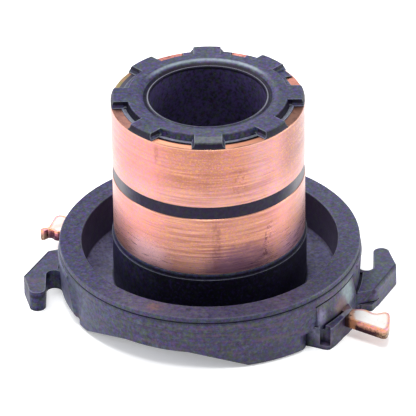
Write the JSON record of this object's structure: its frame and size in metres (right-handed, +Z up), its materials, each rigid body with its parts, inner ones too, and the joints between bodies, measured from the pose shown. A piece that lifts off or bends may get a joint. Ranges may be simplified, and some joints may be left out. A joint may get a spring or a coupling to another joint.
{
  "type": "alternator slip ring",
  "caption": "Slip ring unit for an alternator rotor: copper brush tracks around a moulded hub, dished flange with open hooks, and wire terminals at its edge.",
  "frame": {"origin": "on the shaft axis, in the plane of the underside", "axes": "+Z up the shaft axis from the flange to the lugged collar, +X towards the hook beside the right terminal, -Y towards the viewer of the picture"},
  "size_m": [0.0558, 0.0448, 0.034],
  "materials": {
    "moulding": "moulded glass-filled plastic, dark slate grey, low sheen with fine mottling",
    "ring_copper": null,
    "lead_copper": null
  },
  "bodies": {
    "root": {"insulator": "moulding", "upper_ring": "ring_copper", "lower_ring": "ring_copper", "right_lead": "lead_copper", "left_lead": "lead_copper"}
  },
  "joints": []
}
